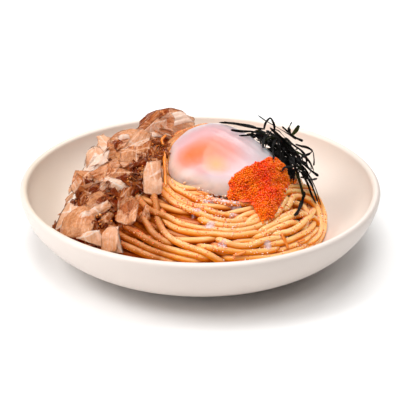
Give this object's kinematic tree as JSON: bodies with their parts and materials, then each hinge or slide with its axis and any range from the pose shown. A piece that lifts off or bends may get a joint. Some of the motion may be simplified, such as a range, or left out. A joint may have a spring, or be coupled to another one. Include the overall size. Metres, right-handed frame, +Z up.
{
  "type": "plate of pasta",
  "caption": "Shallow round stoneware bowl holding a twirled nest of spaghetti topped with a soft-set egg, orange fish roe, shredded seaweed and bonito shavings.",
  "frame": {"origin": "centre of the foot ring's resting plane, under the middle of the bowl", "axes": "+Z up; -Y towards the diner, the side with the open noodles; +X to the diner's right, the side of the roe and the seaweed"},
  "size_m": [0.21, 0.21, 0.0703],
  "materials": {
    "glaze": "satin cream glaze",
    "spaghetti": "moist, sauce-coated cooked pasta",
    "egg_white": "wet, glossy, translucent soft-set egg white",
    "egg_yolk": "soft yolk",
    "roe": "wet translucent grains",
    "seaweed": "dry toasted seaweed, slight sheen",
    "bonito": "thin translucent dried-fish shavings"
  },
  "bodies": {
    "root": {"bowl": "glaze", "pasta_nest": "spaghetti", "egg_white": "egg_white", "egg_yolk": "egg_yolk", "roe_heap": "roe", "seaweed_heap": "seaweed", "bonito_heap": "bonito", "bonito_flake_1": "bonito", "bonito_flake_2": "bonito", "bonito_flake_3": "bonito", "bonito_flake_4": "bonito", "bonito_flake_5": "bonito", "bonito_flake_6": "bonito", "bonito_flake_7": "bonito", "bonito_flake_8": "bonito", "bonito_flake_9": "bonito", "bonito_flake_10": "bonito", "bonito_flake_11": "bonito"}
  },
  "joints": []
}
